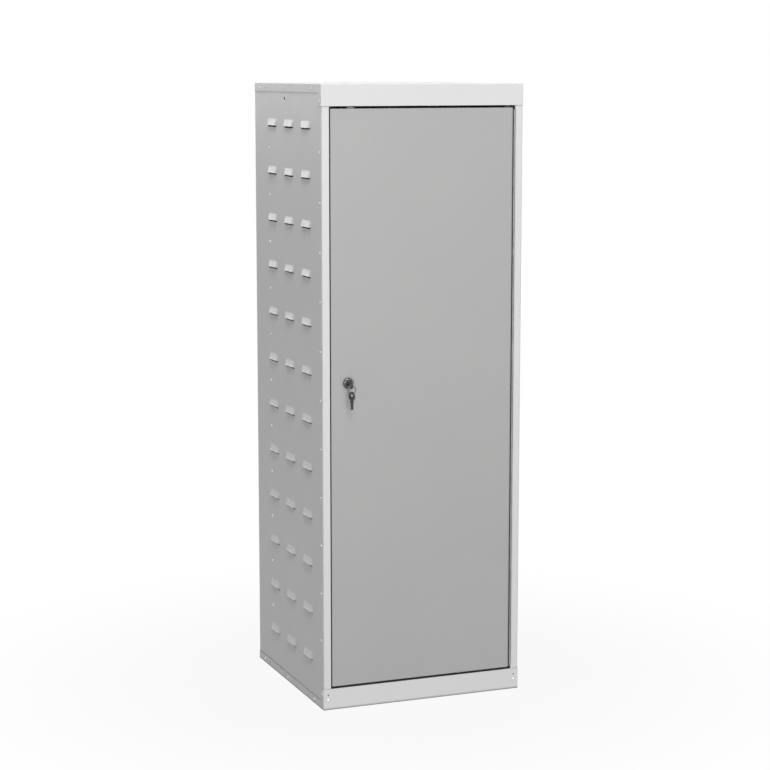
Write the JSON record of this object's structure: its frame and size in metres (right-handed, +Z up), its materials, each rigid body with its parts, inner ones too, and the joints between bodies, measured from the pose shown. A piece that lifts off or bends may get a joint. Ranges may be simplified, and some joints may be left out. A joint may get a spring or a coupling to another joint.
{
  "type": "locker cabinet",
  "caption": "Tall sheet-steel locker with louvred sides, shelves inside and a hinged door shut by a key-operated cam lock that shoots a rod up and a rod down.",
  "frame": {"origin": "middle of the footprint, on the ground", "axes": "+Z up, the door faces -Y, +X to the right of someone who faces the door"},
  "size_m": [0.507, 0.5116, 1.45],
  "materials": {
    "body_paint": "satin light grey powder coat",
    "door_paint": "satin mid grey powder coat",
    "zinc_steel": "zinc plated steel",
    "chrome": "bright plated",
    "key_metal": "nickel plated, worn",
    "rubber": "matt black rubber",
    "rivet_metal": "plain aluminium"
  },
  "bodies": {
    "carcass": {"top_cap": "body_paint", "base_tray": "body_paint", "left_side_panel": "body_paint", "right_side_panel": "body_paint", "back_panel": "body_paint", "floor_panel": "body_paint", "left_front_post": "body_paint", "right_front_post": "body_paint", "plinth_corner_brackets": "zinc_steel", "left_panel_rivets": "rivet_metal", "right_panel_rivets": "rivet_metal", "cap_rivets": "rivet_metal", "base_rivets": "rivet_metal", "plinth_rivets": "rivet_metal", "left_shelf_ledges": "body_paint", "right_shelf_ledges": "body_paint", "shelf_01": "body_paint", "shelf_02": "body_paint", "shelf_03": "body_paint", "shelf_04": "body_paint", "shelf_05": "body_paint", "shelf_06": "body_paint", "shelf_07": "body_paint", "shelf_08": "body_paint", "shelf_09": "body_paint", "shelf_10": "body_paint", "shelf_11": "body_paint", "door_buffers": "rubber", "hinge_frame_leaf": "zinc_steel", "hinge_pin": "zinc_steel"},
    "door": {"door_pan": "door_paint", "door_stiffener": "door_paint", "hinge_door_leaf": "zinc_steel", "upper_rod_guides": "zinc_steel", "lower_rod_guides": "zinc_steel", "lock_body": "chrome", "lock_nut": "zinc_steel"},
    "lock_plug": {"lock_plug": "chrome", "lock_cam": "zinc_steel", "cam_screw": "zinc_steel"},
    "upper_rod": {"upper_rod": "zinc_steel"},
    "lower_rod": {"lower_rod": "zinc_steel"},
    "key": {"key": "key_metal"},
    "key_ring": {"key_ring": "chrome"},
    "spare_key": {"spare_key": "key_metal"}
  },
  "joints": [
    {"name": "door_hinge", "type": "hinge", "parent": "carcass", "child": "door", "pos_m": [0.22775, -0.239, 0.725], "axis": [0, 0, 1], "range_deg": [0, 170]},
    {"name": "key_turn", "type": "hinge", "parent": "door", "child": "lock_plug", "pos_m": [-0.1855, -0.24, 0.77], "axis": [0, -1, 0], "range_deg": [0, 90]},
    {"name": "upper_rod_slide", "type": "slide", "parent": "door", "child": "upper_rod", "axis": [0, 0, 1], "range_m": [0, 0.0198]},
    {"name": "lower_rod_slide", "type": "slide", "parent": "door", "child": "lower_rod", "axis": [0, 0, -1], "range_m": [0, 0.0198]},
    {"name": "key_withdraw", "type": "slide", "parent": "lock_plug", "child": "key", "axis": [0, -1, 0], "range_m": [0, 0.02]},
    {"name": "ring_swing", "type": "hinge", "parent": "key", "child": "key_ring", "pos_m": [-0.1855, -0.26146, 0.76705], "axis": [-1, 0, 0], "range_deg": [-3, 60]},
    {"name": "spare_key_swing", "type": "hinge", "parent": "key_ring", "child": "spare_key", "pos_m": [-0.1855, -0.26146, 0.74855], "axis": [-1, 0, 0], "range_deg": [-4, 50]}
  ],
  "couplings": [
    {"joint": "key_turn", "follows": "lower_rod_slide", "rad_per_m": 79.333},
    {"joint": "upper_rod_slide", "follows": "lower_rod_slide", "ratio": 1}
  ]
}
